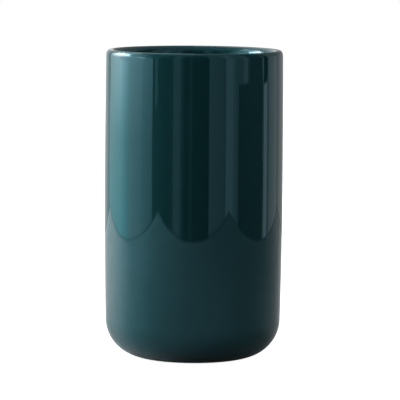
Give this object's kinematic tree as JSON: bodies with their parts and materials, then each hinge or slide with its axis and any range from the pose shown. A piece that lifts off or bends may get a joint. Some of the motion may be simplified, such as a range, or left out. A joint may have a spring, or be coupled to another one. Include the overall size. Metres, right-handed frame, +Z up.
{
  "type": "brush pot",
  "caption": "Tall round glazed stoneware pot with a rounded lip and heel, for standing brushes or pens in; it rests on small grip pads set inside the foot ring.",
  "frame": {"origin": "centre of the underside, on the surface that the pot stands on", "axes": "+Z up along the pot's axis of turning; the pot is round, so +X and +Y are free, and the four pads lie at 45 degrees to them"},
  "size_m": [0.076, 0.076, 0.1315],
  "materials": {
    "teal_glaze": "clear gloss glaze over stoneware, bare clay on the foot ring",
    "grip_pad_rubber": "matt moulded rubber"
  },
  "bodies": {
    "root": {"pot_body": "teal_glaze", "foot_pad_1": "grip_pad_rubber", "foot_pad_2": "grip_pad_rubber", "foot_pad_3": "grip_pad_rubber", "foot_pad_4": "grip_pad_rubber"}
  },
  "joints": []
}
